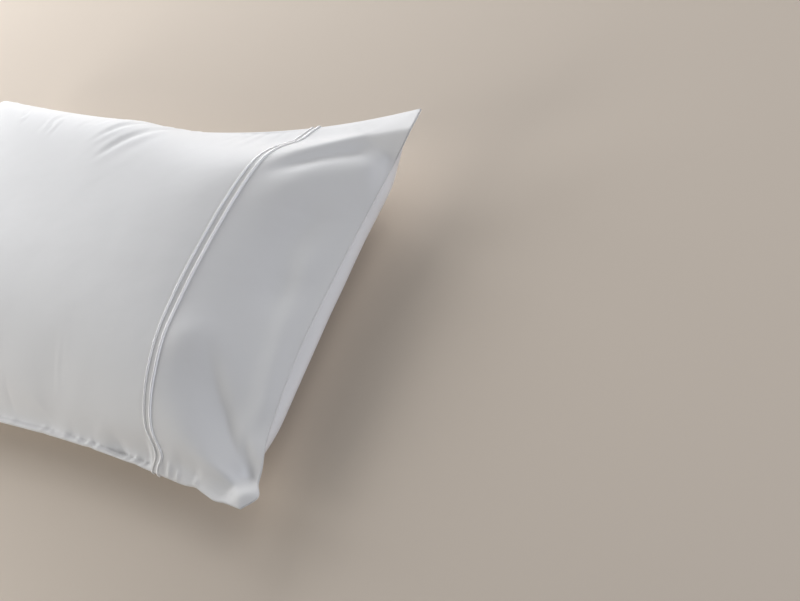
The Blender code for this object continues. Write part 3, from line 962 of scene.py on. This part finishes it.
def cotton_sateen():
    """Cotton sateen, woven with long floats: a smooth matt white with a soft sheen and barely a weave."""
    material, tree, shader = new_material("cotton_sateen")
    flat = add_node(tree, "ShaderNodeUVMap")
    solid = add_node(tree, "ShaderNodeTexCoord")
    # The floats of the satin weave run along the case. A real one is 0.3 mm wide; drawn 4 times coarser, so that
    # it shows at all, and as faint broken streaks, as the eye sees them.
    streaks = add_node(tree, "ShaderNodeMapping", {"Scale": (1.0 / FLOAT_WIDTH, 1.0 / FLOAT_LENGTH, 1.0)},
                       {"Vector": flat.outputs["UV"]})
    floats = add_node(tree, "ShaderNodeTexNoise", {"Scale": 1.0, "Detail": 2.0, "Roughness": 0.6},
                      {"Vector": streaks.outputs["Vector"]})
    # Small unevenness of the cloth from laundering and pressing, a few centimetres across
    rumples = add_node(tree, "ShaderNodeTexNoise", {"Scale": 1.0 / RUMPLE_WIDTH, "Detail": 2.0, "Roughness": 0.45},
                       {"Vector": solid.outputs["Object"]})
    soft = add_node(tree, "ShaderNodeBump", {"Strength": 1.0, "Distance": RUMPLE_HEIGHT},
                    {"Height": rumples.outputs["Fac"]})
    woven = add_node(tree, "ShaderNodeBump", {"Strength": 1.0, "Distance": FLOAT_HEIGHT},
                     {"Height": floats.outputs["Fac"], "Normal": soft.outputs["Normal"]})
    # Threads differ a little in how white they are
    two_shades(tree, shader, bpy.context.scene.pillowcase_colours.cotton, THREAD_CONTRAST, floats.outputs["Fac"])
    tree.links.new(woven.outputs["Normal"], shader.inputs["Normal"])
    gloss = add_node(tree, "ShaderNodeMapRange", {"To Min": 0.56, "To Max": 0.68}, {"Value": rumples.outputs["Fac"]})
    tree.links.new(gloss.outputs["Result"], shader.inputs["Roughness"])
    shader.inputs["IOR"].default_value = 1.45
    shader.inputs["Specular IOR Level"].default_value = 0.35
    shader.inputs["Sheen Weight"].default_value = 0.12
    shader.inputs["Sheen Roughness"].default_value = 0.45
    return material


def covered_cord():
    """Cord covered in the sateen, cut on the bias and pulled tight: it shines far more than the slack cloth. Its
    colour is set whiter than the sateen's, which paints part of that shine in as a painted highlight.
    """
    material, tree, shader = new_material("covered_cord")
    flat = add_node(tree, "ShaderNodeUVMap")
    # The cover's threads wind round the cord at half a right angle, 1 mm apart
    slant = add_node(tree, "ShaderNodeMapping", {"Rotation": (0.0, 0.0, math.pi / 4.0)},
                     {"Vector": flat.outputs["UV"]})
    wound = add_node(tree, "ShaderNodeTexWave", {"Scale": 1.0 / COVER_PITCH / WAVE_BANDS, "Distortion": 0.6},
                     {"Vector": slant.outputs["Vector"]})
    ribbed = add_node(tree, "ShaderNodeBump", {"Strength": 1.0, "Distance": COVER_HEIGHT},
                      {"Height": wound.outputs["Fac"]})
    # The whiter cord colour is a painted highlight laid over the cover's real thread shades.
    two_shades(tree, shader, bpy.context.scene.pillowcase_colours.cord, COVER_CONTRAST, wound.outputs["Fac"])
    tree.links.new(ribbed.outputs["Normal"], shader.inputs["Normal"])
    shader.inputs["Metallic"].default_value = 0.35
    shader.inputs["Roughness"].default_value = 0.40
    shader.inputs["Sheen Weight"].default_value = 0.1
    return material


def matt_board():
    """Painted board, rolled matt: a plain pale taupe with the fine stipple that a roller leaves."""
    material, tree, shader = new_material("matt_board")
    solid = add_node(tree, "ShaderNodeTexCoord")
    stipple = add_node(tree, "ShaderNodeTexNoise", {"Scale": 1.0 / STIPPLE_WIDTH, "Detail": 2.0},
                       {"Vector": solid.outputs["Object"]})
    bumpy = add_node(tree, "ShaderNodeBump", {"Strength": 1.0, "Distance": STIPPLE_HEIGHT},
                     {"Height": stipple.outputs["Fac"]})
    # The coat is a little thicker in some places than in others
    cloudy = add_node(tree, "ShaderNodeTexNoise", {"Scale": 1.0 / CLOUD_WIDTH, "Detail": 2.0},
                      {"Vector": solid.outputs["Object"]})
    two_shades(tree, shader, bpy.context.scene.pillowcase_colours.floor, CLOUD_CONTRAST, cloudy.outputs["Fac"])
    tree.links.new(bumpy.outputs["Normal"], shader.inputs["Normal"])
    shader.inputs["Roughness"].default_value = 0.8
    shader.inputs["Specular IOR Level"].default_value = 0.2
    return material


def direction(azimuth, elevation):
    """Gives the direction to a light or camera, with azimuth 0 on the -Y side and 90 degrees on the +X side."""
    return Vector((
        math.sin(azimuth) * math.cos(elevation),
        -math.cos(azimuth) * math.cos(elevation),
        math.sin(elevation),
    ))


def looking_from(target, away, distance):
    """Gives the placing of a light or camera that looks at a target, upright."""
    side = Vector((0.0, 0.0, 1.0)).cross(away).normalized()
    turn = Matrix((side, away.cross(side), away)).transposed().to_4x4()
    return Matrix.Translation(target + away * distance) @ turn


class PILLOWCASE_OT_cloth(bpy.types.Operator):
    """Makes the body and the cuff of the filled case"""

    bl_idname = "pillowcase.cloth"
    bl_label = "Body and Cuff"

    def execute(self, context):
        sateen = cotton_sateen()
        body, cuff = [], []
        for cloth in cloths():
            points, stations = body_rows(cloth)
            body.append((points, flat_places(cloth, stations)))
            points, stations = cuff_rows(cloth)
            turned = hem_rows(cloth, points[-1])
            stations = np.concatenate([stations, np.zeros((len(turned), len(cloth.v)))])
            cuff.append((np.concatenate([points, turned]), flat_places(cloth, stations)))
        piece = filled_piece("body_skin", body, sateen, "case_body", False)
        piece = filled_piece("cuff_skin", cuff, sateen, "cuff", True)
        return {"FINISHED"}


class PILLOWCASE_OT_cords(bpy.types.Operator):
    """Makes the two rows of covered cord"""

    bl_idname = "pillowcase.cords"
    bl_label = "Covered Cords"

    def execute(self, context):
        size = sizes()
        cover = covered_cord()
        cord_piece("inner_piping", CUFF_DEPTH, size.inner_cord_width, cover, "cord_inner")
        outer = CUFF_DEPTH - size.cord_spacing
        cord_piece("outer_piping", outer, size.outer_cord_width, cover, "cord_outer")
        return {"FINISHED"}


class PILLOWCASE_OT_stage(bpy.types.Operator):
    """Makes the floor, the light and the camera"""

    bl_idname = "pillowcase.stage"
    bl_label = "Floor, Light and Camera"

    def execute(self, context):
        scene = context.scene
        bm = bmesh.new()
        bmesh.ops.create_grid(bm, x_segments=1, y_segments=1, size=FLOOR_HALF_SIZE)
        mesh = bpy.data.meshes.new("floor")
        bm.to_mesh(mesh)
        bm.free()
        mesh.materials.append(matt_board())
        floor = bpy.data.objects.new("floor", mesh)
        scene.collection.objects.link(floor)
        for name, aim, azimuth, elevation, distance, size, power, colour in LIGHTS:
            away = direction(math.radians(azimuth), math.radians(elevation))
            light = bpy.data.lights.new(name, "AREA")
            light.shape = "DISK"
            light.size = size
            light.energy = power
            light.color = linear(colour)
            lamp = bpy.data.objects.new(name, light)
            lamp.matrix_world = looking_from(Vector(aim), away, distance)
            scene.collection.objects.link(lamp)
        world = bpy.data.worlds.new("studio")
        world.use_nodes = True
        background = world.node_tree.nodes["Background"]
        background.inputs["Color"].default_value = (1.0, 1.0, 1.0, 1.0)
        background.inputs["Strength"].default_value = WORLD_LIGHT
        scene.world = world
        camera = bpy.data.cameras.new("photo_view")
        camera.sensor_width = SENSOR
        camera.lens = FOCAL_PIXELS * SENSOR / IMAGE_WIDTH
        view = bpy.data.objects.new("photo_view", camera)
        away = direction(AZIMUTH, ELEVATION)
        view.matrix_world = looking_from(Vector(TARGET), away, TARGET_DISTANCE) @ Matrix.Rotation(ROLL, 4, "Z")
        scene.collection.objects.link(view)
        scene.camera = view
        scene.view_settings.view_transform = "Standard"
        return {"FINISHED"}


class PILLOWCASE_PT_panel(bpy.types.Panel):
    """Lists the steps and their settings"""

    bl_label = "Pillowcase"
    bl_idname = "PILLOWCASE_PT_panel"
    bl_space_type = "VIEW_3D"
    bl_region_type = "UI"
    bl_category = "Pillowcase"

    def draw(self, context):
        for group in (context.scene.pillowcase_sizes, context.scene.pillowcase_colours):
            box = self.layout.box()
            # The first two properties are Blender's own
            for name in group.bl_rna.properties.keys()[2:]:
                box.prop(group, name)
        for operator in OPERATORS:
            self.layout.operator(operator.bl_idname)


OPERATORS = (PILLOWCASE_OT_cloth, PILLOWCASE_OT_cords, PILLOWCASE_OT_stage)
CLASSES = (PillowcaseSizes, PillowcaseColours, *OPERATORS, PILLOWCASE_PT_panel)


def register():
    for made in CLASSES:
        bpy.utils.register_class(made)
    bpy.types.Scene.pillowcase_sizes = bpy.props.PointerProperty(type=PillowcaseSizes)
    bpy.types.Scene.pillowcase_colours = bpy.props.PointerProperty(type=PillowcaseColours)


def unregister():
    del bpy.types.Scene.pillowcase_colours
    del bpy.types.Scene.pillowcase_sizes
    for made in reversed(CLASSES):
        bpy.utils.unregister_class(made)


def main():
    register()
    bpy.ops.pillowcase.cloth()
    bpy.ops.pillowcase.cords()
    bpy.ops.pillowcase.stage()


if __name__ == "__main__":
    main()
